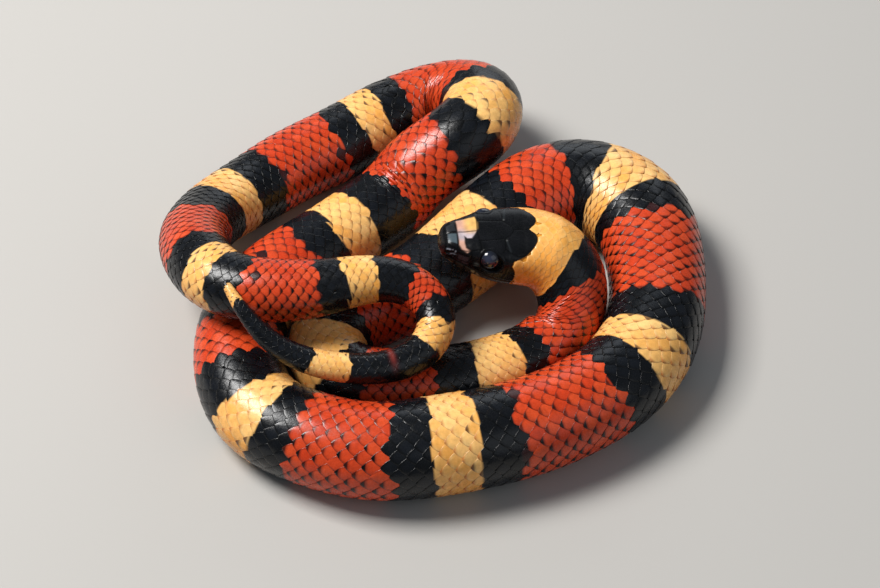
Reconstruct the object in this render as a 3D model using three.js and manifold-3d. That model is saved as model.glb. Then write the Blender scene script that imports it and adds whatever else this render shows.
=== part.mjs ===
// A banded milk snake, life size, coiled at rest with its head laid on its own coils.
// Millimetres, +Z up. The origin is the middle of the footprint, on the floor.
//
// The body is one long tube that is described from the snout to the tip of the tail:
//   - BENDS says how far the body runs, how much it turns on the way and how high
//     its belly is above the floor at the end of each run,
//   - GIRTH says how wide it is at named places,
//   - the section is an oval that is a little wider than it is tall, with a flat belly.
// The tube is then divided into a neck, trunk lengths and tail lengths.

import * as THREE from 'three';
import { mergeVertices } from 'three/addons/utils/BufferGeometryUtils.js';
import Module from 'manifold-3d';

// ---- driving dimensions -------------------------------------------------------
const BODY_LENGTH = 655;          // snout to tail tip, along the back
const SNOUT = [0.331, -6.516];     // where the snout stands over the floor
const SNOUT_HEADING = 8.6;       // degrees, direction of the body behind the snout
const SNOUT_LIFT = 21.7;          // chin above the floor
const BEND_BLEND = 12;            // a turn is spread over this length
const LIFT_BLEND = 16;            // a rise is spread over this length

const HEAD_LENGTH = 22;           // snout to the back of the head
const MOUTH_BACK = 16.5;          // snout to the corner of the mouth
const MOUTH_HEIGHT = 2.6;         // mouth line above the chin
const HEAD_ROLL = 5;              // degrees that the head leans over to its left
const EYE_AT = 9.1;               // snout to the middle of the eye
const EYE_RADIUS = 1.95;
const EYE_OUT = 0.55;             // how far the eye stands out of the cheek
const EYE_HEIGHT = 5.8;           // middle of the eye above the chin
const CUT = 0.3;                  // gap between two neighbouring solids

const TALL = 0.88;                // height of the section over its width
const BELLY = 1.04;               // how much of the belly is pressed flat
const ROUND = 2.2;                // roundness of the flanks below the middle
const SIDES = 20;                 // facets round the body
const STEP = 5.2;                 // facets along the body

const TRUNK_START = 54;           // back of the neck
const TRUNK_LENGTHS = 15;
const VENT = 564;                 // the tail starts here
const TAIL_LENGTHS = ['tail_1', 'tail_2', 'tail_tip'];

// [run in mm, turn in degrees (+ is to the left), belly above the floor at its end]
const BENDS = [
  // head
  [19.7, -0.3, 13.9],
  // neck, coming down off the coil and bending back
  [9.4, -47.8, 8.9],
  [8.8, -53.8, 2.4],
  [8.3, -47.5, 0],
  // first run, under the outer coil
  [10.5, -10.1, 0],
  [13.8, -18.6, 0],
  [17.3, -11.4, 0],
  // hairpin on the left
  [13, -82.5, 0],
  [13, -74.4, 0],
  // inner run to the back right
  [12, 11.2, 0],
  [12, 14, 0],
  [16, -1.1, 0],
  // outer coil round the right side and the front
  [13, -10.9, 0],
  [15, -65.2, 0],
  [15, -49.8, 0],
  [23, -17.8, 0],
  [28, -46.4, 0],
  [24, -20.4, 0],
  [19, -8.3, 0],
  [13, -26, 0],
  // outer coil up the left side
  [13, -10.4, 0],
  [13, -42.4, 0],
  [16, -25.4, 0],
  [22, -40.8, 0],
  // run to the back right
  [34, 2.5, 0],
  // hairpin at the back, a little raised
  [13, -24.8, 7.7],
  [12, 54.3, 9.5],
  [11, 58.2, 3.8],
  [12, 64.1, 0],
  // back run to the left
  [13, 23.4, 0],
  [17, -7.8, 0],
  [20, 15.4, 0],
  // loop that climbs over the coils on the left
  [15, 23.2, 4.6],
  [14, 26.5, 10.7],
  [13, 21, 16.3],
  [12, 55.8, 17.7],
  // over the coils to the right
  [12, 12.7, 17.6],
  [12, 8.7, 20.2],
  // small loop
  [12, -47.2, 18.9],
  [12, -95.2, 14.8],
  // tail
  [14, -47.9, 15.1],
  [18, -23.8, 18],
  [20, -46.6, 29.6],
];

// [distance from the snout, half width]
const GIRTH = [
  [0, 4.6], [10, 7.6], [20, 8.6], [28, 8.7], [36, 8], [48, 7.2],
  [62, 7.6], [102, 8.4], [133, 9.7], [163, 11.2], [189, 11.4], [214, 10.45],
  [244, 10.35], [284, 10.7], [324, 9.7], [360, 9.4], [382, 8.9], [408, 9.05],
  [432, 9.3], [454, 9.1], [484, 8.8], [514, 7.9], [544, 7.35], [564, 6.75],
  [579, 5.2], [594, 4.15], [614, 3.55], [634, 2.75], [648, 1.65], [655, 0.75],
];

// ---- materials ----------------------------------------------------------------
const finish = (name, color, roughness) =>
  Object.assign(new THREE.MeshStandardMaterial({ color, roughness, metalness: 0 }), { name });
const RED = finish('red_scales', 0xc23c23, 0.42);
const BLACK = finish('black_scales', 0x16191c, 0.35);
const YELLOW = finish('yellow_scales', 0xe8b25c, 0.42);
const EYE = finish('eye_gloss', 0x14161c, 0.08);

// ---- the line of the body -------------------------------------------------------
const rad = Math.PI / 180;
const turns = [[0, SNOUT_HEADING]];
const lifts = [[0, SNOUT_LIFT]];
for (const [run, turn, lift] of BENDS) {
  const [s, heading] = turns[turns.length - 1];
  turns.push([s + run, heading + turn]);
  lifts.push([s + run, lift]);
}

// value of a broken line at s
function along(stops, s) {
  if (s <= stops[0][0]) return stops[0][1];
  for (let i = 1; i < stops.length; i++) {
    if (s <= stops[i][0]) {
      const [a, u] = stops[i - 1], [b, v] = stops[i];
      return u + (v - u) * (s - a) / (b - a);
    }
  }
  return stops[stops.length - 1][1];
}

// the same, averaged over a span, which rounds its corners
function blended(stops, s, span) {
  let sum = 0;
  for (let k = -4; k <= 4; k++) sum += along(stops, s + k * span / 9);
  return sum / 9;
}

const headingAt = (s) => blended(turns, s, BEND_BLEND) * rad;
const liftAt = (s) => blended(lifts, s, LIFT_BLEND);
const halfWidthAt = (s) => blended(GIRTH, s, 10);

// where the belly stands over the floor, one entry for each millimetre
const plan = [[SNOUT[0], SNOUT[1]]];
for (let i = 0; i < BODY_LENGTH; i++) {
  const rise = liftAt(i + 1) - liftAt(i);
  const reach = Math.sqrt(Math.max(1 - rise * rise, 0.05));
  const h = headingAt(i + 0.5);
  const [x, y] = plan[i];
  plan.push([x + reach * Math.cos(h), y + reach * Math.sin(h)]);
}

// belly point and the three directions of a section: back along the body, up, left
function frameAt(s) {
  const i = Math.min(Math.floor(s), BODY_LENGTH - 1), f = s - i;
  const x = plan[i][0] + (plan[i + 1][0] - plan[i][0]) * f;
  const y = plan[i][1] + (plan[i + 1][1] - plan[i][1]) * f;
  const h = headingAt(s);
  const rise = Math.asin(Math.max(-0.9, Math.min(0.9, (liftAt(s + 0.5) - liftAt(s - 0.5)))));
  const c = Math.cos(rise), n = Math.sin(rise);
  const up = new THREE.Vector3(-Math.cos(h) * n, -Math.sin(h) * n, c);
  const left = new THREE.Vector3(-Math.sin(h), Math.cos(h), 0);
  const roll = HEAD_ROLL * rad * (1 - THREE.MathUtils.smoothstep(s, 18, 36));
  return {
    at: new THREE.Vector3(x, y, Math.max(liftAt(s), 0)),
    back: new THREE.Vector3(Math.cos(h) * c, Math.sin(h) * c, n),
    up: up.clone().multiplyScalar(Math.cos(roll)).addScaledVector(left, -Math.sin(roll)),
    left: left.clone().multiplyScalar(Math.cos(roll)).addScaledVector(up, Math.sin(roll)),
  };
}

// ---- sections ---------------------------------------------------------------------
const power = (v, p) => Math.sign(v) * Math.abs(v) ** p;

// oval with a flat belly, given as [across, above the belly]
function bodySection(s) {
  const a = halfWidthAt(s), b = a * TALL;
  const ring = [];
  for (let k = 0; k < SIDES; k++) {
    const t = (k + 0.5) / SIDES * 2 * Math.PI;
    const c = Math.cos(t), n = Math.sin(t);
    ring.push(n > 0
      ? [a * c, b + b * n]
      : [a * power(c, 2 / ROUND), b + Math.max(-b, b * BELLY * power(n, 2 / ROUND))]);
  }
  return ring;
}

// [distance from the snout, half width, height]; the crown is flat and the cheeks are steep
const HEAD = [
  [0, 2.3, 2.5], [0.5, 3, 3.8], [1.5, 3.7, 5.1], [3.3, 4.7, 6.4], [5.5, 5.9, 7.6], [7.7, 6.9, 8.5],
  [9.9, 7.6, 9.2], [12, 8.05, 9.8], [14.5, 8.4, 10.8], [17, 8.6, 12.2], [19.5, 8.7, 13.8], [HEAD_LENGTH, 8.75, 15.3],
];
const headWidthAt = (s) => along(HEAD.map(([d, w]) => [d, w]), s);
const headHeightAt = (s) => along(HEAD.map(([d, , h]) => [d, h]), s);
// the chin rises a little towards the snout
const chinAt = (s) => 1.6 * (1 - THREE.MathUtils.smoothstep(s, 0, 5));

function headSection(s) {
  const a = headWidthAt(s), h = headHeightAt(s), low = chinAt(s);
  const round = THREE.MathUtils.smoothstep(s, 10, HEAD_LENGTH);
  const ring = [];
  for (let k = 0; k < 24; k++) {
    const t = (k + 0.5) / 24 * 2 * Math.PI;
    const c = Math.cos(t), n = Math.sin(t);
    const e = 2 / (4.2 - 2.1 * round);
    const x = a * power(c, e), z = h / 2 * power(n, e);
    // the crown is a little narrower than the lips
    ring.push([x * (1 - 0.06 * (1 - round) * Math.max(z / h * 2, 0)), low + h / 2 + z]);
  }
  return ring;
}

// ---- solids ---------------------------------------------------------------------------
function place(s, [across, high]) {
  const f = frameAt(s);
  return f.at.clone().addScaledVector(f.left, across).addScaledVector(f.up, high);
}

// closed tube through the sections at the given distances
function loft(stations, section) {
  const rings = stations.map((s) => section(s).map((p) => place(s, p)));
  const sides = rings[0].length, points = rings.flat(), index = [];
  for (let i = 0; i + 1 < rings.length; i++) {
    for (let k = 0; k < sides; k++) {
      const a = i * sides + k, b = i * sides + (k + 1) % sides, c = a + sides, d = b + sides;
      index.push(a, b, d, a, d, c);
    }
  }
  const last = (rings.length - 1) * sides;
  for (let k = 1; k + 1 < sides; k++) {
    index.push(0, k + 1, k);
    index.push(last, last + k, last + k + 1);
  }
  const geometry = new THREE.BufferGeometry();
  geometry.setAttribute('position', new THREE.Float32BufferAttribute(points.flatMap((p) => [p.x, p.y, p.z]), 3));
  geometry.setIndex(index);
  geometry.computeVertexNormals();
  return geometry;
}

function stationsBetween(from, to) {
  const count = Math.max(2, Math.round((to - from) / STEP));
  return Array.from({ length: count + 1 }, (_, i) => from + (to - from) * i / count);
}

const snake = new THREE.Group();
function add(name, geometry, material) {
  const mesh = new THREE.Mesh(geometry, material);
  mesh.name = name;
  snake.add(mesh);
  return mesh;
}

// ---- head, lower jaw and eyes ------------------------------------------------------------
const wasm = await Module();
wasm.setup();

function solid(geometry) {
  const g = geometry.clone();
  g.deleteAttribute('normal');
  g.deleteAttribute('uv');
  const m = mergeVertices(g, 1e-5);
  return new wasm.Manifold(new wasm.Mesh({
    numProp: 3,
    vertProperties: new Float32Array(m.attributes.position.array),
    triVerts: new Uint32Array(m.index.array),
  }));
}

function geometryOf(body) {
  const m = body.getMesh();
  const g = new THREE.BufferGeometry();
  g.setAttribute('position', new THREE.BufferAttribute(new Float32Array(m.vertProperties), 3));
  g.setIndex(new THREE.BufferAttribute(new Uint32Array(m.triVerts), 1));
  g.computeVertexNormals();
  return g;
}

// a block in the head's own directions, from one distance to another and between two heights
function headBlock(from, to, low, high, half) {
  const f = frameAt(7);
  const g = new THREE.BoxGeometry(to - from, half * 2, high - low);
  const m = new THREE.Matrix4().makeBasis(f.back, f.left, f.up);
  const middle = f.at.clone()
    .addScaledVector(f.back, (from + to) / 2 - 7)
    .addScaledVector(f.up, (low + high) / 2);
  g.applyMatrix4(m.setPosition(middle));
  return g;
}

const headLoft = solid(loft([...HEAD.map(([d]) => d).slice(0, -1), HEAD_LENGTH - CUT / 2], headSection));
const jawBlock = solid(headBlock(-4, MOUTH_BACK, -4, MOUTH_HEIGHT - CUT / 2, 12));
const jawRoom = solid(headBlock(-4, MOUTH_BACK + CUT, -4, MOUTH_HEIGHT + CUT / 2, 12));

const eyes = [['eye_left', -1], ['eye_right', 1]].map(([name, side]) => {
  const reach = headWidthAt(EYE_AT) * 0.95 - EYE_RADIUS + EYE_OUT;
  const middle = place(EYE_AT, [side * reach, EYE_HEIGHT]);
  return { name, middle };
});

function ball(radius, middle, detail = 1) {
  const g = new THREE.SphereGeometry(radius, 12 * detail, 8 * detail);
  g.translate(middle.x, middle.y, middle.z);
  return g;
}

let upper = headLoft.subtract(jawRoom);
for (const { middle } of eyes) upper = upper.subtract(solid(ball(EYE_RADIUS + CUT, middle)));
add('head', geometryOf(upper), BLACK);
add('lower_jaw', geometryOf(headLoft.intersect(jawBlock)), YELLOW);
for (const { name, middle } of eyes) add(name, ball(EYE_RADIUS, middle), EYE);

// ---- neck, trunk and tail --------------------------------------------------------------------
add('neck', loft(stationsBetween(HEAD_LENGTH + CUT / 2, TRUNK_START - CUT / 2), bodySection), YELLOW);

const trunkRun = (VENT - TRUNK_START) / TRUNK_LENGTHS;
for (let i = 0; i < TRUNK_LENGTHS; i++) {
  const from = TRUNK_START + i * trunkRun, to = from + trunkRun;
  add(`trunk_${i + 1}`, loft(stationsBetween(from + CUT / 2, to - CUT / 2), bodySection), i % 2 ? BLACK : RED);
}

const tailRun = (BODY_LENGTH - VENT) / TAIL_LENGTHS.length;
TAIL_LENGTHS.forEach((name, i) => {
  const from = VENT + i * tailRun, to = from + tailRun;
  const last = i + 1 === TAIL_LENGTHS.length;
  add(name, loft(stationsBetween(from + CUT / 2, last ? to : to - CUT / 2), bodySection), last ? YELLOW : BLACK);
});

export default snake;
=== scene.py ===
import math
import bpy
import numpy as np
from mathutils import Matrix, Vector


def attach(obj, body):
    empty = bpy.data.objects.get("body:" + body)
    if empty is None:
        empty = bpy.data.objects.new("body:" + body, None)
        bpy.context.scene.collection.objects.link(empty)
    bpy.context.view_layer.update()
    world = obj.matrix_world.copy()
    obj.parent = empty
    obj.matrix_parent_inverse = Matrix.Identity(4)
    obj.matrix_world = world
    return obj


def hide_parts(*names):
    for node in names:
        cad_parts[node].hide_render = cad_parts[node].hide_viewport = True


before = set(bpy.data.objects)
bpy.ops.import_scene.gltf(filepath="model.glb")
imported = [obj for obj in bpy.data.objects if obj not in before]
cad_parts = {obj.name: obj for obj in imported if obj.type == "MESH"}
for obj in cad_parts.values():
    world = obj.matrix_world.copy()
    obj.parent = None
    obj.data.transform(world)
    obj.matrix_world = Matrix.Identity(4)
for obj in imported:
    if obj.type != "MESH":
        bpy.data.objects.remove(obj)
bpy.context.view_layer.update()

RNG = np.random.default_rng(41)
MM = 0.001

# ---- the line of the body, the same as in the solids (millimetres) ---------------
BODY_LENGTH = 655
SNOUT = (0.331, -6.516)
SNOUT_HEADING, SNOUT_LIFT = 8.6, 21.7
BEND_BLEND, LIFT_BLEND, WIDTH_BLEND = 12, 16, 10
TALL, BELLY, ROUND = 0.88, 1.04, 2.2
HEAD_LENGTH, HEAD_ROLL = 22.0, 5.0

# run, turn in degrees, belly above the floor at the end of the run
BENDS = [
    # head
    (19.7, -0.3, 13.9),
    # neck, coming down off the coil and bending back
    (9.4, -47.8, 8.9),
    (8.8, -53.8, 2.4),
    (8.3, -47.5, 0),
    # first run, under the outer coil
    (10.5, -10.1, 0),
    (13.8, -18.6, 0),
    (17.3, -11.4, 0),
    # hairpin on the left
    (13, -82.5, 0),
    (13, -74.4, 0),
    # inner run to the back right
    (12, 11.2, 0),
    (12, 14, 0),
    (16, -1.1, 0),
    # outer coil round the right side and the front
    (13, -10.9, 0),
    (15, -65.2, 0),
    (15, -49.8, 0),
    (23, -17.8, 0),
    (28, -46.4, 0),
    (24, -20.4, 0),
    (19, -8.3, 0),
    (13, -26, 0),
    # outer coil up the left side
    (13, -10.4, 0),
    (13, -42.4, 0),
    (16, -25.4, 0),
    (22, -40.8, 0),
    # run to the back right
    (34, 2.5, 0),
    # hairpin at the back, a little raised
    (13, -24.8, 7.7),
    (12, 54.3, 9.5),
    (11, 58.2, 3.8),
    (12, 64.1, 0),
    # back run to the left
    (13, 23.4, 0),
    (17, -7.8, 0),
    (20, 15.4, 0),
    # loop that climbs over the coils on the left
    (15, 23.2, 4.6),
    (14, 26.5, 10.7),
    (13, 21, 16.3),
    (12, 55.8, 17.7),
    # over the coils to the right
    (12, 12.7, 17.6),
    (12, 8.7, 20.2),
    # small loop
    (12, -47.2, 18.9),
    (12, -95.2, 14.8),
    # tail
    (14, -47.9, 15.1),
    (18, -23.8, 18),
    (20, -46.6, 29.6),
]
# distance from the snout, half width
GIRTH = [
    (0, 4.6), (10, 7.6), (20, 8.6), (28, 8.7), (36, 8), (48, 7.2),
    (62, 7.6), (102, 8.4), (133, 9.7), (163, 11.2), (189, 11.4), (214, 10.45),
    (244, 10.35), (284, 10.7), (324, 9.7), (360, 9.4), (382, 8.9), (408, 9.05),
    (432, 9.3), (454, 9.1), (484, 8.8), (514, 7.9), (544, 7.35), (564, 6.75),
    (579, 5.2), (594, 4.15), (614, 3.55), (634, 2.75), (648, 1.65), (655, 0.75),
]


def along(stops, s):
    stops = np.asarray(stops, float)
    return np.interp(s, stops[:, 0], stops[:, 1])


def blended(stops, s, span):
    return sum(along(stops, s + k * span / 9) for k in range(-4, 5)) / 9


def smoothstep(x, a, b):
    t = np.clip((x - a) / (b - a), 0, 1)
    return t * t * (3 - 2 * t)


_run = np.concatenate([[0], np.cumsum([b[0] for b in BENDS])])
TURNS = np.stack([_run, SNOUT_HEADING + np.concatenate([[0], np.cumsum([b[1] for b in BENDS])])], 1)
LIFTS = np.stack([_run, [SNOUT_LIFT] + [b[2] for b in BENDS]], 1)


def heading_at(s):
    return np.radians(blended(TURNS, s, BEND_BLEND))


def lift_at(s):
    return blended(LIFTS, s, LIFT_BLEND)


def half_width_at(s):
    return blended(GIRTH, s, WIDTH_BLEND)


_i = np.arange(BODY_LENGTH + 1.0)
_reach = np.sqrt(np.maximum(1 - np.diff(lift_at(_i)) ** 2, 0.05))
_h = heading_at(_i[:-1] + 0.5)
PLAN_X = SNOUT[0] + np.concatenate([[0], np.cumsum(_reach * np.cos(_h))])
PLAN_Y = SNOUT[1] + np.concatenate([[0], np.cumsum(_reach * np.sin(_h))])

# ---- sections: from the middle of the back (w = 0) down each flank to the middle of the belly (w = -1, 1)
ROWS_S = np.arange(0, BODY_LENGTH + 0.01, 0.25)
COLS = 193
_t = np.linspace(math.pi / 2, -math.pi / 2, 721)


def _power(v, p):
    return np.sign(v) * np.abs(v) ** p


def _even(x, z):
    """the outline as COLS points evenly spaced along it, and its length"""
    d = np.concatenate([[0], np.cumsum(np.hypot(np.diff(x), np.diff(z)))])
    at = np.linspace(0, d[-1], COLS)
    return np.interp(at, d, x), np.interp(at, d, z), d[-1]


def body_outline(a):
    c, n = np.cos(_t), np.sin(_t)
    b = a * TALL
    x = np.where(n > 0, a * c, a * _power(c, 2 / ROUND))
    z = np.where(n > 0, b + b * n, b + np.maximum(-b, b * BELLY * _power(n, 2 / ROUND)))
    return x, z


# distance from the snout, half width, height
HEAD = [
    (0, 2.3, 2.5), (0.5, 3, 3.8), (1.5, 3.7, 5.1), (3.3, 4.7, 6.4), (5.5, 5.9, 7.6), (7.7, 6.9, 8.5),
    (9.9, 7.6, 9.2), (12, 8.05, 9.8), (14.5, 8.4, 10.8), (17, 8.6, 12.2), (19.5, 8.7, 13.8), (22, 8.75, 15.3),
    (26, 8.8, 15.5),
]


def _soft(stops, s, span=1.6):
    """broken line with its corners rounded, close to the ends less so"""
    span = np.minimum(span, 2 * np.maximum(s, 0.0))
    return sum(along(stops, s + k * span / 9) for k in range(-4, 5)) / 9


def head_outline(s):
    nose = math.sqrt(max(1 - (1 - min(s / 0.9, 1)) ** 2, 0))
    a = float(_soft([(p[0], p[1]) for p in HEAD], np.array(s))) * nose
    full = float(_soft([(p[0], p[2]) for p in HEAD], np.array(s)))
    h = full * nose
    rounded = smoothstep(s, 10, HEAD_LENGTH)
    low = 1.6 * (1 - smoothstep(s, 0, 5)) + (full - h) / 2
    crown = 0.06 * (1 - rounded)
    c, n = np.cos(_t), np.sin(_t)
    e = np.where(n > 0, 2 / (4.2 - 2.1 * rounded), 2 / (4.2 - 2.1 * rounded))
    x, z = a * _power(c, e), h / 2 * _power(n, e)
    return x * (1 - crown * np.maximum(z / max(h, 1e-6) * 2, 0)), low + h / 2 + z


def _section_table():
    xs, zs, lengths = [], [], []
    for s in ROWS_S:
        k = float(smoothstep(s, 19.0, 25.0))
        x, z, d = 0, 0, 0
        if k < 1:
            hx, hz, hd = _even(*head_outline(float(s)))
            x, z, d = hx * (1 - k), hz * (1 - k), hd * (1 - k)
        if k > 0:
            bx, bz, bd = _even(*body_outline(float(half_width_at(s))))
            x, z, d = x + bx * k, z + bz * k, d + bd * k
        xs.append(x), zs.append(z), lengths.append(d)
    return np.array(xs), np.array(zs), np.array(lengths)


SEC_X, SEC_Z, SEC_HALF = _section_table()
_gx, _gz = np.gradient(SEC_X, axis=1), np.gradient(SEC_Z, axis=1)
for _ in range(4):  # rounds the normals at the edge of the flat belly
    _gx[:, 1:-1] = (_gx[:, :-2] + 2 * _gx[:, 1:-1] + _gx[:, 2:]) / 4
    _gz[:, 1:-1] = (_gz[:, :-2] + 2 * _gz[:, 1:-1] + _gz[:, 2:]) / 4
_gz[:, 0] = 0
_gz[:, -1] = 0
_gl = np.maximum(np.hypot(_gx, _gz), 1e-9)
SEC_NX, SEC_NZ = -_gz / _gl, _gx / _gl


def _frames():
    s = ROWS_S
    x, y = np.interp(s, _i, PLAN_X), np.interp(s, _i, PLAN_Y)
    h = heading_at(s)
    r = np.arcsin(np.clip(lift_at(s + 0.5) - lift_at(s - 0.5), -0.9, 0.9))
    c, n = np.cos(r), np.sin(r)
    at = np.stack([x, y, np.maximum(lift_at(s), 0)], 1)
    back = np.stack([np.cos(h) * c, np.sin(h) * c, n], 1)
    up = np.stack([-np.cos(h) * n, -np.sin(h) * n, c], 1)
    left = np.stack([-np.sin(h), np.cos(h), 0 * h], 1)
    roll = (math.radians(HEAD_ROLL) * (1 - smoothstep(s, 18, 36)))[:, None]
    return at, back, up * np.cos(roll) - left * np.sin(roll), left * np.cos(roll) + up * np.sin(roll)


AT, BACK, UP, LEFT = _frames()


def _rows(table, s):
    f = np.clip(s / 0.25, 0, len(ROWS_S) - 1.001)
    i = f.astype(int)
    f = f - i
    if table.ndim == 2 and table.shape[1] == 3:
        return table[i] * (1 - f)[..., None] + table[i + 1] * f[..., None]
    return table[i] * (1 - f) + table[i + 1] * f


def _cells(table, s, w):
    f = np.clip(s / 0.25, 0, len(ROWS_S) - 1.001)
    i = f.astype(int)
    f = f - i
    g = np.clip(np.abs(w) * (COLS - 1), 0, COLS - 1.001)
    j = g.astype(int)
    g = g - j
    return ((table[i, j] * (1 - g) + table[i, j + 1] * g) * (1 - f)
            + (table[i + 1, j] * (1 - g) + table[i + 1, j + 1] * g) * f)


def section(s, w):
    """across and up of the outline in the section's own directions, before any offset"""
    side = np.sign(w)
    return side * _cells(SEC_X, s, w), _cells(SEC_Z, s, w)


def surface(s, w, out=0.0):
    """points over the body: s along it, w round it, out above the surface; millimetres"""
    s, w = np.broadcast_arrays(np.asarray(s, float), np.asarray(w, float))
    side = np.where(w < 0, -1.0, 1.0)
    x = side * (_cells(SEC_X, s, w) + out * _cells(SEC_NX, s, w))
    z = _cells(SEC_Z, s, w) + out * _cells(SEC_NZ, s, w)
    over = np.maximum(s - BODY_LENGTH, 0)
    return (_rows(AT, s) + _rows(LEFT, s) * x[..., None] + _rows(UP, s) * z[..., None]
            + _rows(BACK, s) * over[..., None])


# ---- bands: station where each starts, and its colour -----------------------------
# r red, k black, y pale yellow, c the orange-yellow collar
BANDS = [
    (0, "k"), (16.2, "c"), (24.8, "k"), (29.4, "r"), (50.3, "k"), (56.3, "y"), (65.6, "k"), (73.9, "r"),
    (88, "k"), (94, "y"), (104, "k"), (111, "r"), (127, "k"), (136, "y"), (151, "k"), (157.7, "r"),
    (171, "k"), (180.5, "y"), (191.7, "k"), (198.3, "r"), (220.5, "k"), (230.3, "y"), (238.6, "k"),
    (246.8, "r"), (268.2, "k"), (276.2, "y"), (285.3, "k"), (293, "r"), (311.3, "k"), (318.1, "y"),
    (324.9, "k"), (333.5, "r"), (344.5, "k"), (349.5, "y"), (355, "k"), (360, "r"), (370.9, "k"),
    (378.1, "y"), (386.7, "k"), (398.4, "r"), (417.8, "k"), (421.9, "y"), (428.0, "k"), (431.5, "r"),
    (455.2, "k"), (462.4, "y"), (468.9, "k"), (475.2, "r"), (493.5, "k"), (504.3, "y"), (513.9, "k"),
    (524.5, "r"), (539.2, "k"), (544, "y"), (548.2, "k"), (553.6, "r"), (568.7, "k"), (574.2, "y"),
    (580.1, "k"), (587, "r"), (592.4, "k"), (597, "y"), (603.5, "k"), (621.2, "y"), (629.4, "k"),
    (649.6, "y"), (653.6, "k"),
]
STARTS = np.array([b[0] for b in BANDS], float)
KINDS = np.array(["krcy".index(b[1]) for b in BANDS])  # 0 black, 1 red, 2 collar, 3 yellow


def kind_at(s):
    return KINDS[np.clip(np.searchsorted(STARTS, s, side="right") - 1, 0, len(KINDS) - 1)]


def outer_bend(s, w):
    """on the outer side of the hairpin at the back the black bands reach further along"""
    side = np.clip(-w, 0, 0.6)
    return side * (5.0 * np.exp(-((s - 416.2) / 2.6) ** 2) - 7.0 * np.exp(-((s - 434.0) / 3.2) ** 2))


def edge_distance(s):
    return np.min(np.abs(np.asarray(s)[..., None] - STARTS[1:]), axis=-1)


# the black cap of the head ends along this line: |w|, station
CAP_EDGE = [(0, 16.15), (0.02, 16.45), (0.05, 17.1), (0.09, 17.45), (0.132, 17.4), (0.18, 16.9), (0.23, 16.2),
            (0.277, 15.4), (0.31, 14.3), (0.34, 13.2), (0.392, 13.2), (0.42, 13.8), (0.445, 14.2), (0.50, 14.8),
            (0.553, 15.0), (0.62, 15.0), (0.66, 15.4), (1, 15.6)]


def lin(r, g, b):
    c = np.array([r, g, b]) / 255.0
    return np.where(c <= 0.04045, c / 12.92, ((c + 0.055) / 1.055) ** 2.4)


RED, RED_LIT, RED_DARK = lin(188, 52, 20), lin(220, 88, 44), lin(88, 14, 5)
BLACK, BLACK_LIT = lin(3, 4, 5), lin(11, 14, 19)
ORANGE, CREAM, COLLAR, COLLAR_LOW = lin(238, 158, 54), lin(250, 222, 154), lin(230, 152, 50), lin(240, 134, 26)
ORANGE_DEEP = lin(192, 98, 26)
BELLY_PALE = lin(226, 196, 150)


def mixed(a, b, t):
    t = np.clip(np.asarray(t, float), 0, 1)[..., None]
    return a * (1 - t) + b * t


# ---- mesh helpers ------------------------------------------------------------------
def make_mesh(name, verts, quads, tone, uv=None, smooth=None):
    """verts in millimetres; quads as an index array; tone one colour a vertex; uv one pair a vertex"""
    mesh = bpy.data.meshes.new(name)
    verts = np.ascontiguousarray(verts.reshape(-1, 3) * MM, dtype=np.float32)
    quads = np.ascontiguousarray(quads.reshape(-1, 4), dtype=np.int32)
    mesh.vertices.add(len(verts))
    mesh.vertices.foreach_set("co", verts.ravel())
    mesh.loops.add(quads.size)
    mesh.loops.foreach_set("vertex_index", quads.ravel())
    mesh.polygons.add(len(quads))
    mesh.polygons.foreach_set("loop_start", np.arange(0, quads.size, 4, dtype=np.int32))
    mesh.polygons.foreach_set("loop_total", np.full(len(quads), 4, dtype=np.int32))
    mesh.polygons.foreach_set("use_smooth", np.ones(len(quads), bool) if smooth is None else smooth)
    mesh.update(calc_edges=True)
    layer = mesh.attributes.new("tone", "FLOAT_COLOR", "POINT")
    rgba = np.concatenate([tone.reshape(-1, tone.shape[-1]),
                           np.ones((len(verts), 4 - tone.shape[-1]))], 1).astype(np.float32)
    layer.data.foreach_set("color", rgba.ravel())
    if uv is not None:
        data = mesh.uv_layers.new(name="OFBake")
        data.data.foreach_set("uv", uv.reshape(-1, 2)[quads.ravel()].astype(np.float32).ravel())
    mesh.validate(clean_customdata=False)
    piece = bpy.data.objects.new(name, mesh)
    bpy.context.scene.collection.objects.link(piece)
    return piece


def grid_quads(rows, cols, closed=False):
    i = np.arange(rows - 1)[:, None]
    j = np.arange(cols if closed else cols - 1)[None, :]
    k = (j + 1) % cols
    return np.stack([i * cols + j + 0 * k, (i + 1) * cols + j, (i + 1) * cols + k, i * cols + k + 0 * j], -1)


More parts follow.
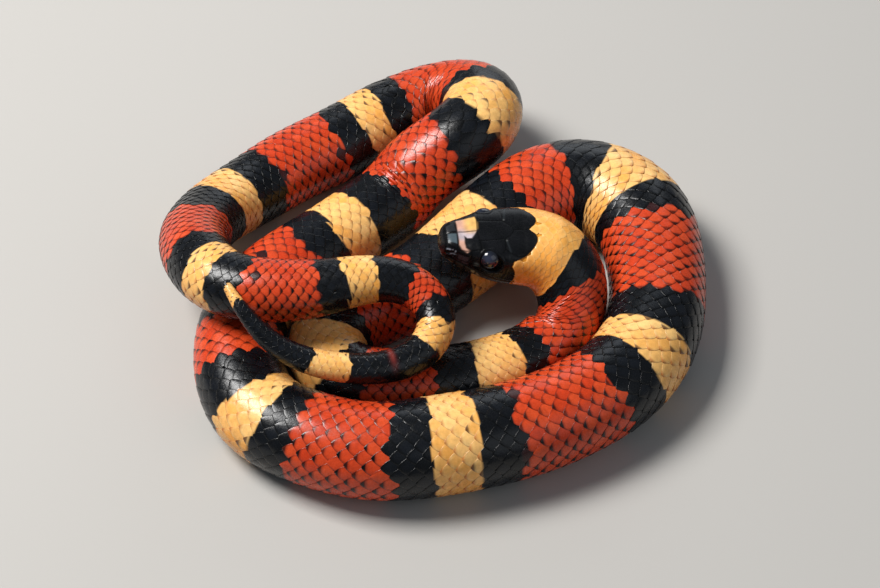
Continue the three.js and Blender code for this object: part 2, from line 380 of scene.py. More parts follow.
# ---- materials ------------------------------------------------------------------------
def node_material(name, roughness, noise_scale, variation, bump, bump_scale, specular=0.5, coat=0.0,
                  coat_roughness=0.1, rough_spread=0.1):
    """colour from the markings, with the painted shade and painted highlights, laid on the mesh, broken up by noise,
    with fine relief
    """
    m = bpy.data.materials.new(name)
    m.use_nodes = True
    nt = m.node_tree
    nodes, links = nt.nodes, nt.links
    nodes.clear()
    out = nodes.new("ShaderNodeOutputMaterial")
    shader = nodes.new("ShaderNodeBsdfPrincipled")
    links.new(shader.outputs["BSDF"], out.inputs["Surface"])
    shader.inputs["Specular IOR Level"].default_value = specular
    shader.inputs["Coat Weight"].default_value = coat
    shader.inputs["Coat Roughness"].default_value = coat_roughness
    place = nodes.new("ShaderNodeTexCoord")
    tone = nodes.new("ShaderNodeAttribute")
    tone.attribute_name = "tone"
    noise = nodes.new("ShaderNodeTexNoise")
    noise.inputs["Scale"].default_value = noise_scale
    noise.inputs["Detail"].default_value = 4
    links.new(place.outputs["Object"], noise.inputs["Vector"])
    spread = nodes.new("ShaderNodeMapRange")
    spread.inputs["From Min"].default_value = 0.3
    spread.inputs["From Max"].default_value = 0.7
    spread.inputs["To Min"].default_value = 1 - variation
    spread.inputs["To Max"].default_value = 1 + variation
    links.new(noise.outputs["Fac"], spread.inputs["Value"])
    colour = nodes.new("ShaderNodeMix")
    colour.data_type = "RGBA"
    colour.blend_type = "MULTIPLY"
    colour.inputs["Factor"].default_value = 1
    links.new(tone.outputs["Color"], colour.inputs["A"])
    links.new(spread.outputs["Result"], colour.inputs["B"])
    links.new(colour.outputs["Result"], shader.inputs["Base Color"])
    rough = nodes.new("ShaderNodeMapRange")
    rough.inputs["From Min"].default_value = 0.3
    rough.inputs["From Max"].default_value = 0.7
    rough.inputs["To Min"].default_value = roughness - rough_spread
    rough.inputs["To Max"].default_value = roughness + rough_spread
    fine = nodes.new("ShaderNodeTexNoise")
    fine.inputs["Scale"].default_value = bump_scale
    fine.inputs["Detail"].default_value = 3
    links.new(place.outputs["Object"], fine.inputs["Vector"])
    links.new(fine.outputs["Fac"], rough.inputs["Value"])
    links.new(rough.outputs["Result"], shader.inputs["Roughness"])
    relief = nodes.new("ShaderNodeBump")
    relief.inputs["Strength"].default_value = bump
    relief.inputs["Distance"].default_value = 0.0001
    links.new(fine.outputs["Fac"], relief.inputs["Height"])
    links.new(relief.outputs["Normal"], shader.inputs["Normal"])
    return m


SCALES = node_material("snake_scales", 0.27, 900, 0.14, 0.22, 2600, specular=0.34, rough_spread=0.06)
PLATES = node_material("head_plates", 0.27, 700, 0.10, 0.14, 1800, specular=0.24, rough_spread=0.05)
SKIN = node_material("snake_skin", 0.55, 1200, 0.15, 0.3, 3000, specular=0.4)
EYE = node_material("eye", 0.14, 500, 0.10, 0.0, 1500, specular=0.5, coat=0.6, coat_roughness=0.04, rough_spread=0.02)

# ---- where the eyes sit -------------------------------------------------------------------
EYE_AT, EYE_HEIGHT, EYE_RADIUS, EYE_OUT = 9.1, 5.8, 1.95, 0.55


def place(s, x, z):
    s = np.array(float(s))
    return _rows(AT, s) + _rows(LEFT, s) * x + _rows(UP, s) * z


def eye_frame(side):
    reach = float(along([(p[0], p[1]) for p in HEAD], EYE_AT)) * 0.95 - EYE_RADIUS + EYE_OUT
    s = np.array(EYE_AT)
    out = _rows(LEFT, s) * side * math.cos(0.16) + _rows(UP, s) * math.sin(0.16)
    back = _rows(BACK, s)
    up = np.cross(out, back)
    up = up if up @ _rows(UP, s) > 0 else -up
    return place(EYE_AT, side * reach, EYE_HEIGHT + 0.35), out, back, up


def eye_dip(points):
    """how far the surface sinks round the eyes, and the raised rim about them"""
    depth = np.zeros(points.shape[:-1])
    for side in (-1, 1):
        centre, out, back, up = eye_frame(side)
        d = points - centre
        across, high = d @ back, d @ up
        r = np.hypot(across / 1.04, high * np.where(high > 0, 1.06, 1.0))
        near = (d @ out) > -0.5
        bowl = 1 - smoothstep(r, 1.98, 2.38)
        rim = np.exp(-((r - 2.58) / 0.26) ** 2) * 0.10 + np.exp(-((r - 2.95) / 0.10) ** 2) * -0.06
        depth = depth + np.where(near, -1.0 * bowl + rim, 0)
    return depth


# ---- skin: one tube from the snout to the tip of the tail ----------------------------------
COAT = 0.34


def skin_depth(s):
    return COAT * np.clip(half_width_at(s) / 9.0, 0.22, 1.0) + 0.04


skin_s = np.concatenate([[0.02, 0.1, 0.25, 0.45, 0.7], np.arange(1.0, 24, 0.4), np.arange(24, 600, 0.9),
                         np.arange(600, BODY_LENGTH - 0.5, 0.7), [BODY_LENGTH - 0.3]])
skin_w = np.linspace(-1, 1, 97)[:-1]
ss, ww = np.meshgrid(skin_s, skin_w, indexing="ij")
inset = np.minimum(skin_depth(ss), 0.25 + ss * 0.4)
inset = inset - 1.15 * np.minimum(eye_dip(surface(ss, ww, 0)), 0)
skin_v = surface(ss, ww, -inset)
kinds = kind_at(ss + outer_bend(ss, ww))
# painted shade: the skin under the scales takes the band colours darkened, as the shade in the gaps between scales
dark = mixed(BLACK, RED_DARK * 0.5, kinds == 1)
dark = mixed(dark, ORANGE * 0.45, kinds == 3)
dark = mixed(dark, COLLAR * 0.6, kinds == 2)
skin = make_mesh("skin", skin_v, grid_quads(len(skin_s), len(skin_w), closed=True), dark)
# close both ends
import bmesh
bm = bmesh.new()
bm.from_mesh(skin.data)
bmesh.ops.holes_fill(bm, edges=[e for e in bm.edges if e.is_boundary], sides=0)
bmesh.ops.recalc_face_normals(bm, faces=bm.faces)
bm.to_mesh(skin.data)
bm.free()
skin.data.materials.append(SKIN)

# ---- scales of the back and flanks ----------------------------------------------------------
RING_STEP = [(0, 1.5), (16, 1.7), (20, 1.85), (35, 2.1), (60, 2.2), (100, 2.4), (130, 2.75), (185, 3.1), (280, 2.95),
             (360, 2.65), (450, 2.55), (510, 2.3), (560, 2.1), (590, 1.95), (620, 1.75), (640, 1.45), (655, 1.1)]
# station, rows of scales across the back from there on
ROWS = [(0, 21), (329, 19), (458, 17), (571, 13), (594, 11), (608, 9), (633, 7)]
BACK_EDGE = 0.70  # the scales of the back reach this far round, the belly plates take the rest


_top_s = np.arange(0, BODY_LENGTH + 0.01, 0.5)
_top = surface(_top_s, 0 * _top_s, 0)
_stretch = np.linalg.norm(np.gradient(_top, axis=0), axis=1) / 0.5
_stretch = np.convolve(np.pad(_stretch, 4, mode="edge"), np.ones(9) / 9, mode="valid")


def rings():
    """where the rings of scales lie: evenly along the back, also where the body dips or rises"""
    s, found = 13.0, []
    while s < BODY_LENGTH - 0.6:
        step = float(along(RING_STEP, s)) / float(np.clip(np.interp(s, _top_s, _stretch), 0.62, 1.35))
        found.append((s, step))
        s += step
    return found


RINGS = rings()
# outline of one scale: along (in ring steps, towards the tail), half width as a share of the widest
ALONG = np.array([-0.80, -0.52, -0.28, -0.08, 0.06, 0.18, 0.30, 0.40, 0.49, 0.55, 0.58])
HALF = np.where(ALONG > -0.08, np.maximum(1 - (np.maximum(ALONG + 0.08, 0) / 0.67) ** 1.45, 0.0) ** 0.80,
                1 - 0.30 * (np.maximum(-0.08 - ALONG, 0) / 0.72) ** 2)
HALF[-1] = 0.10
ACROSS = np.array([-1, -0.9, -0.6, -0.25, 0.25, 0.6, 0.9, 1.0])


def lay_scales(name, centre_s, centre_w, step, half_w, tint_seed, s_from, s_to):
    """joined mesh of overlapping scales; half_w is the half width as a share of the half girth"""
    n, r, c = len(centre_s), len(ALONG), len(ACROSS)
    rnd = np.random.default_rng(tint_seed)
    y = ALONG[None, :, None] + np.zeros((n, 1, c))
    x = ACROSS[None, None, :] + np.zeros((n, r, 1))
    turn = rnd.normal(0, 0.035, n)[:, None, None]
    grow = 1 + rnd.normal(0, 0.025, n)[:, None, None]
    dw = x * (HALF[None, :, None] * half_w[:, None, None]) * grow
    s = centre_s[:, None, None] + y * step[:, None, None] * grow
    w = centre_w[:, None, None] + dw + turn * y * half_w[:, None, None]
    size = (step / 3.45)[:, None, None] ** 0.8
    t = (y + 0.80) / 1.37
    rise = -0.30 * (1 - t ** 0.85)
    dome = -0.075 * np.abs(x) ** 2.4 - 0.03 * np.clip((t - 0.82) / 0.18, 0, 1) ** 2
    low_relief = (0.55 + 0.45 * smoothstep(s, 24, 30))
    h = (rise + dome) * size * low_relief
    top = surface(s, w, h)
    # lowered rim all round gives each scale its thickness
    rim_r = np.concatenate([np.zeros(c, int), np.arange(1, r), np.full(c - 1, r - 1), np.arange(r - 2, 0, -1)])
    rim_c = np.concatenate([np.arange(c), np.full(r - 1, c - 1), np.arange(c - 2, -1, -1), np.zeros(r - 2, int)])
    low = surface(s[:, rim_r, rim_c], w[:, rim_r, rim_c], h[:, rim_r, rim_c] - 0.13 * size[:, :, 0] * low_relief[:, rim_r, rim_c])
    m = len(rim_r)
    per = r * c + m
    verts = np.concatenate([top.reshape(n, r * c, 3), low], 1)
    base = grid_quads(r, c).reshape(-1, 4)
    ids = rim_r * c + rim_c
    nxt = np.roll(np.arange(m), -1)
    skirt = np.stack([ids, r * c + np.arange(m), r * c + nxt, ids[nxt]], -1)[:, ::-1]
    quads = (np.concatenate([base, skirt])[None] + (np.arange(n) * per)[:, None, None])
    soft = np.tile(np.arange(len(base) + len(skirt)) < len(base), n)  # the rim keeps a crisp edge
    # markings, one kind a scale, with the painted shade and highlights on them
    wave = 0.45 * np.sin(centre_w * 7 + np.floor(centre_s / 7))
    at = centre_s + rnd.normal(0, 0.07, n) * step + wave
    # pale bands end in a clean line across the scales, red ones more by the scale
    middle = kind_at(at + outer_bend(at, centre_w))
    edge = 1 + np.argmin(np.abs(at[:, None] - STARTS[None, 1:]), axis=1)
    beside = np.where((KINDS[edge] == 1) | (KINDS[edge - 1] == 1), 0.12, 0.80)
    kind = kind_at(at[:, None, None] + beside[:, None, None] * y * step[:, None, None] + 0 * x
                   + outer_bend(at, centre_w)[:, None, None])
    kind = np.where((kind == 0) & (s < 20), 2, kind)
    near = edge_distance(at)
    stray = (middle == 1) & (near < 2.2) & (rnd.random(n) < 0.025)
    flank = np.clip(np.abs(centre_w) / BACK_EDGE, 0, 1)[:, None, None]
    one = rnd.random(n)[:, None, None]
    two = rnd.random(n)[:, None, None]
    red = mixed(RED, RED_LIT, (0.10 + 0.45 * one) * np.ones_like(x))
    # painted shade: the red darkens towards each scale's sides and over its root, where it tucks under the scale ahead
    red = mixed(red, RED_DARK, 0.80 * np.clip((np.abs(x) - 0.72) / 0.28, 0, 1) ** 1.3 + 0.35 * (t < 0.2))
    wedge = np.clip((t - 0.79 + 0.05 * flank) / 0.10, 0, 1) * np.clip(1.7 - np.abs(x) * 0.9, 0, 1)
    red = mixed(red, BLACK, wedge * np.clip(0.55 + 0.6 * flank + 0.3 * two, 0, 1) * (two > 0.05))
    red = mixed(red, BLACK_LIT, (stray[:, None, None] * 0.95) * np.ones_like(x))
    rim = np.clip((np.sqrt((x * 0.95) ** 2 + ((y + 0.05) / 0.62) ** 2) - 0.55) / 0.45, 0, 1)
    # painted highlight: each black scale lightens to a bluish sheen towards its centre, and painted shade keeps its
    # rim black
    black = mixed(BLACK, BLACK_LIT * 2.2, (0.15 + 0.5 * one) * (1 - rim))
    cloud = 0.5 + 0.5 * np.sin(centre_s * 0.5 + 3 * centre_w + 1.5 * np.sin(centre_w * 5 + centre_s * 0.13))
    cloud = cloud[:, None, None]
    # painted highlight: yellow scales on the back pale to cream at their centres
    yellow = mixed(mixed(ORANGE, CREAM, 0.02 + 0.22 * one + 0.26 * cloud), CREAM, 0.18 * (1 - rim) * (1 - flank))
    yellow = mixed(yellow, CREAM * 0.88, rim * (0.40 + 0.25 * two))
    # painted shade: the orange deepens at each scale's sides; it also deepens at the tips and towards the lower flanks
    yellow = mixed(yellow, ORANGE_DEEP * 0.8, 0.68 * np.clip((t - 0.82) / 0.14, 0, 1) + 0.42 * flank ** 2
                   + 0.30 * np.clip((np.abs(x) - 0.8) / 0.2, 0, 1))
    dusky = (near < 1.6)[:, None, None] & (two > 0.55)
    yellow = mixed(yellow, BLACK_LIT, 0.75 * wedge * dusky)
    collar = mixed(mixed(COLLAR, CREAM, 0.16 * (1 - flank) + 0.14 * one), COLLAR_LOW, flank ** 1.5 * 0.85)
    collar = mixed(collar, CREAM, 0.22 * rim)
    k = kind[..., None]
    tone = np.where(k == 1, red, np.where(k == 0, black, np.where(k == 2, collar, yellow)))
    mark = np.exp(-((s - 612.2) / 0.6) ** 2 - ((w + 0.06) / 0.30) ** 2) * (size > 0)
    tone = mixed(tone, lin(140, 52, 44), 0.7 * mark)
    # painted shade: the lowered rim walls of each scale take its colour darkened, as the shade in the crevice
    low_tone = tone[:, rim_r, rim_c] * 0.55
    tone = np.concatenate([tone.reshape(n, r * c, 3), low_tone], 1)
    # each scale is one small patch at its root's place on the unrolled skin
    u0 = 0.01 + 0.97 * (centre_s - 0.8 * step - s_from) / (s_to - s_from + 3)
    v0 = 0.01 + 0.97 * (centre_w + 1) / 2
    pu = np.concatenate([t.reshape(n, -1), t[:, rim_r, rim_c]], 1) * 0.003
    pv = np.concatenate([((x + 1) / 2).reshape(n, -1), ((x + 1) / 2)[:, rim_r, rim_c]], 1) * 0.003
    uv = np.stack([np.clip(u0[:, None], 0.002, 0.995) + pu, np.clip(v0[:, None], 0.002, 0.995) + pv], -1)
    piece = make_mesh(name, verts, quads, tone, uv, soft)
    piece.data.materials.append(SCALES)
    return piece


def rows_across(count):
    """middle and width of each row, as shares of the half girth"""
    weight = np.ones(count)
    weight[[0, -1]] = 1.35
    if count > 5:
        weight[[1, -2]] = 1.15
    edges = np.concatenate([[0], np.cumsum(weight)])
    edges = (edges / edges[-1] * 2 - 1) * BACK_EDGE
    return (edges[:-1] + edges[1:]) / 2, np.diff(edges)


def rows_at(s):
    n = ROWS[0][1]
    for start, count in ROWS:
        if s >= start:
            n = count
    return n


back_s, back_w, back_step, back_half = [], [], [], []
for ring, (s, step) in enumerate(RINGS):
    count = rows_at(s)
    mid, wide = rows_across(count)
    for j in range(count):
        at = s + (j % 2) * 0.5 * step
        nearby = abs(mid[j]) + np.array([-0.4, 0, 0.4]) * wide[j]
        if at < float(np.interp(np.abs(nearby), [p[0] for p in CAP_EDGE], [p[1] for p in CAP_EDGE]).max()) + 0.42 * step:
            continue
        if at > BODY_LENGTH - 0.7:
            continue
        back_s.append(at), back_w.append(mid[j]), back_step.append(step), back_half.append(wide[j] * 0.93)
back_s, back_w = np.array(back_s), np.array(back_w)
back_step, back_half = np.array(back_step), np.array(back_half)
back_w = back_w + RNG.normal(0, 0.02, len(back_w)) * back_half
back_s = back_s + RNG.normal(0, 0.025, len(back_s)) * back_step

CUTS = [0, 52, 120, 190, 255, 325, 400, 470, 530, 590, 660]
coat = []
for i, (a, b) in enumerate(zip(CUTS[:-1], CUTS[1:])):
    k = (back_s >= a) & (back_s < b)
    coat.append(lay_scales(f"back_scales_{i + 1}", back_s[k], back_w[k], back_step[k], back_half[k], 100 + i, a, b))

# ---- belly plates ---------------------------------------------------------------------------
def lay_belly(name, stations, steps, seed, s_from, s_to):
    n = len(stations)
    rnd = np.random.default_rng(seed)
    yy = np.array([-0.75, -0.4, 0.0, 0.35, 0.56, 0.62])
    xx = np.linspace(-1, 1, 27)
    r, c = len(yy), len(xx)
    y = yy[None, :, None] + np.zeros((n, 1, c))
    x = xx[None, None, :] + np.zeros((n, r, 1))
    s = stations[:, None, None] + (y - 0.16 * np.abs(x) ** 4) * steps[:, None, None]
    reach = (1 - BACK_EDGE) + 0.035
    w = 1 + x * reach
    w = np.where(w > 1, w - 2, w)
    size = (steps / 3.45)[:, None, None] ** 0.8
    t = (y + 0.75) / 1.37
    h = (-0.30 * (1 - t) - 0.10 * np.abs(x) ** 8 - 0.04 * np.clip((t - 0.85) / 0.15, 0, 1)) * size
    top = surface(s, w, h)
    rim_r = np.concatenate([np.zeros(c, int), np.arange(1, r), np.full(c - 1, r - 1), np.arange(r - 2, 0, -1)])
    rim_c = np.concatenate([np.arange(c), np.full(r - 1, c - 1), np.arange(c - 2, -1, -1), np.zeros(r - 2, int)])
    low = surface(s[:, rim_r, rim_c], w[:, rim_r, rim_c], h[:, rim_r, rim_c] - 0.14 * size[:, :, 0])
    m = len(rim_r)
    per = r * c + m
    verts = np.concatenate([top.reshape(n, r * c, 3), low], 1)
    base = grid_quads(r, c).reshape(-1, 4)
    ids = rim_r * c + rim_c
    nxt = np.roll(np.arange(m), -1)
    skirt = np.stack([ids, r * c + np.arange(m), r * c + nxt, ids[nxt]], -1)[:, ::-1]
    quads = (np.concatenate([base, skirt])[None] + (np.arange(n) * per)[:, None, None])
    kind = kind_at(stations + rnd.normal(0, 0.2, n) * steps)
    kind = np.where(stations < 17.5, 2, kind)[:, None, None]
    one = rnd.random(n)[:, None, None]
    red = mixed(RED, mixed(RED_LIT, BELLY_PALE, 0.15 + 0.2 * one), 1 - np.abs(x) ** 3)
    red = mixed(red, RED_DARK, 0.5 * np.clip((t - 0.88) / 0.12, 0, 1))
    black = mixed(BLACK, BLACK_LIT, 0.5 * one + 0 * x)
    pale = mixed(ORANGE, mixed(BELLY_PALE, CREAM, 0.3 + 0.4 * one), 1 - np.abs(x) ** 4)
    k = kind[..., None]
    tone = np.where(k == 1, red, np.where(k == 0, black, pale))
    # painted shade: the lowered rim walls of each plate take its colour darkened, as the shade in the crevice
    tone = np.concatenate([tone.reshape(n, r * c, 3), tone[:, rim_r, rim_c] * 0.6], 1)
    u0 = 0.01 + 0.97 * (stations - 0.75 * steps - s_from) / (s_to - s_from + 3)
    pu = np.concatenate([t.reshape(n, -1), t[:, rim_r, rim_c]], 1) * 0.003
    pv = np.concatenate([((x + 1) / 2).reshape(n, -1), ((x + 1) / 2)[:, rim_r, rim_c]], 1) * 0.003
    uv = np.stack([np.clip(u0[:, None], 0.002, 0.995) + pu, 0.5 + pv], -1)
    piece = make_mesh(name, verts, quads, tone, uv)
    piece.data.materials.append(SCALES)
    return piece


belly = [(s + 0.25 * step, step) for s, step in RINGS if s > 16.5]
for i, (a, b) in enumerate([(0, 220), (220, 440), (440, 660)]):
    part = [q for q in belly if a <= q[0] < b]
    coat.append(lay_belly(f"belly_plates_{i + 1}", np.array([q[0] for q in part]), np.array([q[1] for q in part]),
                          200 + i, a, b))


# ---- head: plates of the crown, cheeks and lips as one relief ----------------------------------
def girth_at(s):
    return np.interp(s, ROWS_S, SEC_HALF)


def mouth_w(s):
    """how far round the lips meet, as a share of the half girth"""
    i = np.clip((np.asarray(s) / 0.25).astype(int), 0, len(ROWS_S) - 1)
    j0 = COLS // 2
    w = np.array([np.interp(-2.75, -SEC_Z[k, j0:], np.arange(j0, COLS)) for k in np.atleast_1d(i)]) / (COLS - 1)
    return w


_ms = np.arange(0.5, 16.6, 0.5)
_mw = mouth_w(_ms) - 0.030 * smoothstep(_ms, 11.5, 16.0)
MOUTH = list(zip(_ms, _mw))
LIP_TOP = [(0.85, 0.50), (3.1, 0.50), (5.2, 0.49), (7.2, 0.475), (8.0, 0.485)]
LIP_TOP_REAR = [(10.3, 0.475), (12.7, 0.475), (14.9, 0.50)]
LOW_LIP = [(0.9, 0.745), (1.5, 0.74), (4, 0.735), (8, 0.725), (12, 0.715), (15.8, 0.70)]


def at_mouth(s):
    return float(np.interp(s, _ms, _mw))


SEAMS = [
    [(1.0, 0), (0.97, 0.12), (0.85, 0.25), (0.85, 0.42), (0.9, 0.52), (0.95, at_mouth(0.9))],      # rostral
    [(3.0, 0), (3.0, 0.15), (2.9, 0.27), (2.7, 0.33)],                                              # internasals
    [(0.85, 0.25), (1.6, 0.30), (2.7, 0.33), (4.4, 0.315), (5.9, 0.285), (6.9, 0.265)],             # outer prefrontals
    [(6.4, 0), (6.6, 0.15), (6.9, 0.265)],
    [(1.0, 0), (6.4, 0)],
    [(13.4, 0), (16.2, 0)],
    [(6.6, 0.15), (9, 0.125), (11.5, 0.108), (12.6, 0.06), (13.4, 0)],                             # frontal
    [(6.9, 0.265), (7.6, 0.285)],
    [(10.9, 0.262), (11.4, 0.223), (11.5, 0.108)],
    [(11.4, 0.223), (12.4, 0.262), (13.8, 0.285), (15.4, 0.265), (16.3, 0.215)],                    # parietals
    [(2.7, 0.33), (3.0, 0.42), (3.1, 0.50)],                                                        # nasal
    [(5.2, 0.30), (5.35, 0.40), (5.2, 0.49)],                                                       # loreal
    [(3.0, 0.42), (1.5, 0.455)],
    [(12.3, 0.26), (12.5, 0.36), (12.7, 0.475)],
    [(11.2, 0.36), (12.5, 0.365)],
    [(12.5, 0.365), (14.4, 0.385)],
    LIP_TOP, LIP_TOP_REAR, LOW_LIP, MOUTH,
    [(1.2, 0.86), (3.5, 0.84), (6, 0.86), (6.1, 1.0)],
    [(6, 0.86), (8, 0.89), (10, 0.90), (10.2, 1.0)],
    [(1.3, 1.0), (10.2, 1.0)],
    [(8, 0.89), (8.4, 0.80), (8.6, 0.725)],
    [(3.5, 0.84), (3.9, 0.735)],
]
SEAMS += [[(s, at_mouth(s)), (s + 0.15, t)] for s, t in
          [(2.0, 0.50), (3.9, 0.497), (5.8, 0.487), (7.8, 0.484), (10.4, 0.475), (12.7, 0.475)]]
SEAMS += [[(s, at_mouth(s)), (s + 0.25, t)] for s, t in
          [(1.4, 0.74), (3.1, 0.737), (5.0, 0.733), (7.3, 0.727), (9.8, 0.72), (12.3, 0.715), (14.6, 0.705)]]


def line_distance(s, w, lines):
    """millimetres to the nearest of some broken lines laid on the head; w as |w|"""
    px, py = s, w * girth_at(s)
    best = np.full(np.shape(s), 1e3)
    for line in lines:
        for (sa, wa), (sb, wb) in zip(line[:-1], line[1:]):
            ax, ay, bx, by = sa, wa * float(girth_at(sa)), sb, wb * float(girth_at(sb))
            dx, dy = bx - ax, by - ay
            t = np.clip(((px - ax) * dx + (py - ay) * dy) / max(dx * dx + dy * dy, 1e-9), 0, 1)
            best = np.minimum(best, np.hypot(px - ax - t * dx, py - ay - t * dy))
    return best


def inside(s, w, outline):
    """soft mask of a closed outline in station and signed |w| share"""
    odd = np.zeros(np.shape(s), bool)
    loop = list(outline) + [outline[0]]
    for (sa, wa), (sb, wb) in zip(loop[:-1], loop[1:]):
        cross = ((wa > w) != (wb > w)) & (s < (sb - sa) * (w - wa) / (wb - wa + 1e-12) + sa)
        odd ^= cross
    px, py = s, w * girth_at(s)
    best = np.full(np.shape(s), 1e3)
    for (sa, wa), (sb, wb) in zip(loop[:-1], loop[1:]):
        ax, ay, bx, by = sa, wa * float(girth_at(sa)), sb, wb * float(girth_at(sb))
        dx, dy = bx - ax, by - ay
        t = np.clip(((px - ax) * dx + (py - ay) * dy) / max(dx * dx + dy * dy, 1e-9), 0, 1)
        best = np.minimum(best, np.hypot(px - ax - t * dx, py - ay - t * dy))
    return 0.5 + 0.5 * np.tanh(np.where(odd, best, -best) / 0.10)


def ripple(points, size, seed):
    """smooth three-way waves as gentle variation, about -1 to 1"""
    r = np.random.default_rng(seed)
    total = 0
    for _ in range(6):
        k = r.normal(0, 1, 3) / size
        total = total + np.sin(points @ k + r.random() * 6.28)
    return total / 3.0


head_s = np.concatenate([[0.02, 0.05, 0.1, 0.17, 0.25, 0.34, 0.44, 0.54, 0.65, 0.76, 0.87], np.arange(0.98, 18.9, 0.12)])
head_w = np.linspace(-1, 1, 361)
hs, hw = np.meshgrid(head_s, head_w, indexing="ij")
aw = np.abs(hw)
flat = surface(hs, hw, 0)
seam = line_distance(hs, aw, SEAMS)
lips = line_distance(hs, aw, [MOUTH])
cap_end = np.interp(aw, [p[0] for p in CAP_EDGE], [p[1] for p in CAP_EDGE])
cap_end = np.where(aw > 0.66, 17.6, cap_end)
cap_gap = np.abs(hs - cap_end)
height = -0.03 - 0.028 * np.exp(-(seam / 0.14) ** 2) - 0.03 * np.exp(-seam / 0.6)
height -= 0.16 * np.exp(-(lips / 0.16) ** 2)
nostril = np.hypot(hs - 1.35, (aw - 0.455) * girth_at(hs))
height -= 0.45 * np.exp(-(nostril / 0.27) ** 2)
height += 0.06 * np.exp(-((nostril - 0.55) / 0.25) ** 2)
height += 0.015 * ripple(flat, 1.1, 5)
height += eye_dip(flat)
height *= np.clip(hs / 0.8, 0.15, 1)
height -= 0.22 * smoothstep(hs, cap_end - 0.05, cap_end + 0.35)
head_v = surface(hs, hw, height)

# colours of the head
cheek = smoothstep(aw, 0.28, 0.5)
shade = 0.55 + 0.3 * ripple(flat, 1.6, 8)
tone = mixed(BLACK, lin(17, 18, 21), shade)
blotch = inside(hs, hw, [(3.05, 0.23), (6.3, 0.22), (6.65, 0.12), (6.55, 0.03), (5.9, -0.04), (5.3, -0.11), (4.6, -0.11),
                         (4.05, -0.07), (3.95, -0.20), (4.15, -0.27), (4.95, -0.30), (4.6, -0.335), (3.6, -0.31),
                         (3.08, -0.24), (3.05, 0)])
warm = smoothstep(hs, 3.6, 5.4) * smoothstep(hw, -0.08, 0.06)
pied = mixed(mixed(lin(204, 158, 138), lin(188, 174, 178), smoothstep(-hw, -0.10, 0.05) * (1 - smoothstep(-hw, 0.1, 0.2))),
             lin(228, 178, 104), warm)
pied = pied * (1 + 0.16 * ripple(flat, 0.33, 44))[..., None]
tone = mixed(tone, pied, blotch)
# painted highlight: the left internasal is lightened to a bluish grey for the gloss reflection on it
grey = inside(hs, hw, [(1.35, -0.02), (1.25, -0.21), (2.7, -0.23), (2.8, -0.03)])
tone = mixed(tone, lin(92, 108, 116), 0.65 * grey)
grey = inside(hs, hw, [(1.35, 0.03), (1.25, 0.18), (2.6, 0.2), (2.75, 0.03)])
tone = mixed(tone, lin(60, 64, 68), 0.4 * grey)
nasal = inside(hs, aw, [(1.0, 0.36), (2.7, 0.36), (3.0, 0.44), (2.9, 0.50), (1.2, 0.50)])
speck = np.clip(ripple(flat, 0.20, 21) * 1.6 + 0.1, 0, 1)
tone = mixed(tone, lin(168, 174, 186), 0.75 * nasal * speck)
# painted shade: the nostril pit is darkened to near black
tone = mixed(tone, lin(8, 8, 10), np.exp(-(nostril / 0.3) ** 2))
line = line_distance(hs, aw, [[(11.8, 0.14), (12.3, 0.25), (12.5, 0.36), (12.75, 0.44)]])
tone = mixed(tone, lin(60, 66, 70), 0.25 * np.exp(-(line / 0.20) ** 2))
spot = np.hypot(hs - 11.75, (aw - 0.125) * girth_at(hs))
tone = mixed(tone, lin(150, 152, 150), 0.35 * np.exp(-(spot / 0.18) ** 2))
spot = np.hypot(hs - 6.7, (aw - 0.47) * girth_at(hs))
tone = mixed(tone, lin(120, 130, 126), 0.6 * np.exp(-(spot / 0.40) ** 2))
tone = mixed(tone, lin(70, 58, 62), 0.55 * inside(hs, aw, [(3.2, 0.40), (5.2, 0.40), (5.3, 0.56), (3.4, 0.57)]))
below = smoothstep(aw - np.interp(hs, _ms, _mw), -0.004, 0.006)
tone = mixed(tone, lin(120, 76, 66), 0.40 * np.exp(-(lips / 0.20) ** 2) * smoothstep(hs, 3, 8))
chin = mixed(mixed(CREAM, BELLY_PALE, 0.5 + 0.3 * ripple(flat, 1.5, 12)), BLACK_LIT,
             0.5 * (1 - smoothstep(seam, 0.05, 0.4)) * (aw < 0.85))
chin = mixed(chin, BLACK_LIT, (1 - smoothstep(aw, 0.70, 0.80)) * (0.97 - 0.4 * smoothstep(ripple(flat, 0.8, 31), 0.5, 0.9)))
tone = mixed(tone, chin, below)
tone = mixed(tone, COLLAR, smoothstep(hs, cap_end - 0.1, cap_end + 0.05))
tone = mixed(tone, tone * 0.12, 0.95 * np.exp(-(seam / 0.15) ** 2))
head_uv = np.stack([0.01 + 0.98 * hs / 19.0, 0.01 + 0.98 * (hw + 1) / 2], -1)
head = make_mesh("head_plates", head_v, grid_quads(len(head_s), len(head_w)), tone, head_uv)
head.data.materials.append(PLATES)


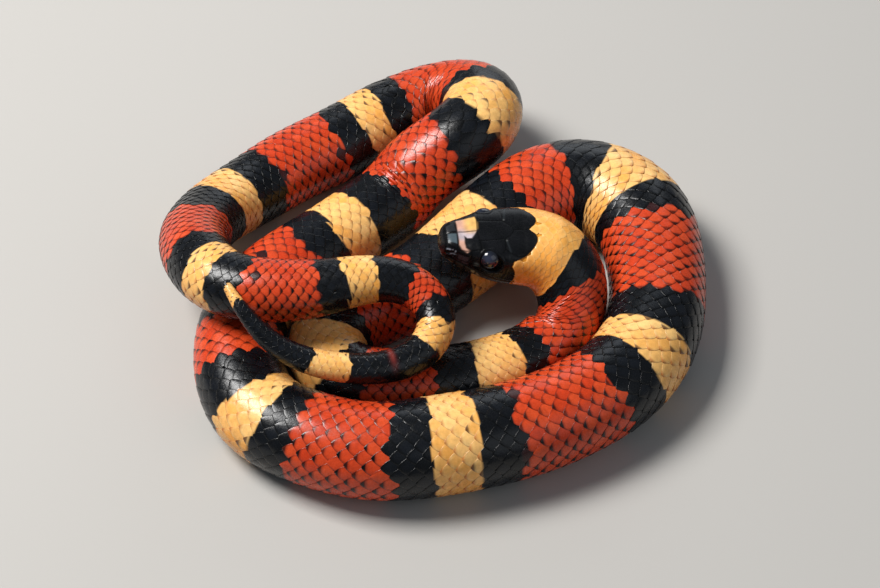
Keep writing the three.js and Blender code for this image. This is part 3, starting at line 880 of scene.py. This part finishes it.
# ---- eyes ------------------------------------------------------------------------------------
def make_eye(name, side):
    centre, out, back, up = eye_frame(side)
    a = np.linspace(0.0, math.pi, 33)
    b = np.linspace(0, 2 * math.pi, 49)[:-1]
    aa, bb = np.meshgrid(a, b, indexing="ij")
    n, t, u = np.cos(aa), np.sin(aa) * np.cos(bb), np.sin(aa) * np.sin(bb)
    v = (centre + out * (2.02 * n)[..., None] + back * (2.36 * t)[..., None] + up * (2.22 * u)[..., None])
    r = np.sin(aa) * (n > 0) + (n <= 0)
    eye_tone = mixed(lin(8, 9, 12), lin(26, 22, 23), smoothstep(r, 0.46, 0.50) * (1 - smoothstep(r, 0.80, 0.92)))
    # painted reflection: a soft bluish patch towards the upper front of the eye stands in for the sky's reflection
    cloud = np.exp(-((t + 0.30) / 0.55) ** 2 - ((u - 0.38) / 0.42) ** 2) * (n > 0)
    eye_tone = mixed(eye_tone, lin(58, 68, 94), 0.6 * cloud)
    quads = grid_quads(len(a), len(b), closed=True)
    uv = np.stack([0.02 + 0.96 * aa / math.pi, 0.02 + 0.96 * bb / 6.2832], -1)
    eye = make_mesh(name, v, quads, eye_tone, uv)
    bm = bmesh.new()
    bm.from_mesh(eye.data)
    bmesh.ops.remove_doubles(bm, verts=bm.verts, dist=1e-7)
    bmesh.ops.recalc_face_normals(bm, faces=bm.faces)
    bm.to_mesh(eye.data)
    bm.free()
    eye.data.materials.append(EYE)
    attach(eye, "root")
    return eye


eye_l = make_eye("eye_ball_left", -1)
eye_r = make_eye("eye_ball_right", 1)
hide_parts("eye_left")
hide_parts("eye_right")

# ---- what rides on what -----------------------------------------------------------------------
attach(skin, "root")
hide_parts("head", "lower_jaw", "neck", *[f"trunk_{i}" for i in range(1, 16)], "tail_1", "tail_2", "tail_tip")
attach(head, "root")
for piece in coat:
    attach(piece, "root")

# ---- studio -------------------------------------------------------------------------------------
floor_mesh = bpy.data.meshes.new("floor")
floor_mesh.from_pydata([(-4, -4, 0), (4, -4, 0), (4, 4, 0), (-4, 4, 0)], [], [(0, 1, 2, 3)])
floor = bpy.data.objects.new("floor", floor_mesh)
bpy.context.scene.collection.objects.link(floor)
pale = bpy.data.materials.new("pale_floor")
pale.use_nodes = True
pale.node_tree.nodes["Principled BSDF"].inputs["Base Color"].default_value = (0.46, 0.445, 0.42, 1)
pale.node_tree.nodes["Principled BSDF"].inputs["Roughness"].default_value = 0.9
floor_mesh.materials.append(pale)

world = bpy.data.worlds.new("studio")
bpy.context.scene.world = world
world.use_nodes = True
world.node_tree.nodes["Background"].inputs["Color"].default_value = (0.80, 0.88, 1.0, 1)
world.node_tree.nodes["Background"].inputs["Strength"].default_value = 0.17


def area_light(name, at, size, power, colour):
    data = bpy.data.lights.new(name, "AREA")
    data.size = size
    data.energy = power
    data.color = colour
    light = bpy.data.objects.new(name, data)
    bpy.context.scene.collection.objects.link(light)
    light.location = at
    light.rotation_euler = (Vector((0, 0, 0.01)) - Vector(at)).to_track_quat("-Z", "Y").to_euler()
    return light


area_light("key", (-0.50, 0.14, 0.80), 0.40, 13.2, (1.0, 0.985, 0.965))
area_light("fill", (0.55, -0.45, 0.55), 0.7, 0.8, (0.92, 0.96, 1.0))
area_light("back", (0.15, 0.8, 0.35), 0.5, 1.1, (0.9, 0.95, 1.0))

camera_data = bpy.data.cameras.new("camera")
camera_data.sensor_width = 36
camera_data.lens = 2444 / 880 * 36
camera_data.clip_start = 0.01
camera_data.clip_end = 20
camera = bpy.data.objects.new("camera", camera_data)
bpy.context.scene.collection.objects.link(camera)
camera.location = (0.0014265, -0.359741, 0.3996)
camera.rotation_euler = (math.radians(42), 0, 0)
bpy.context.scene.camera = camera
bpy.context.scene.view_settings.view_transform = "Standard"
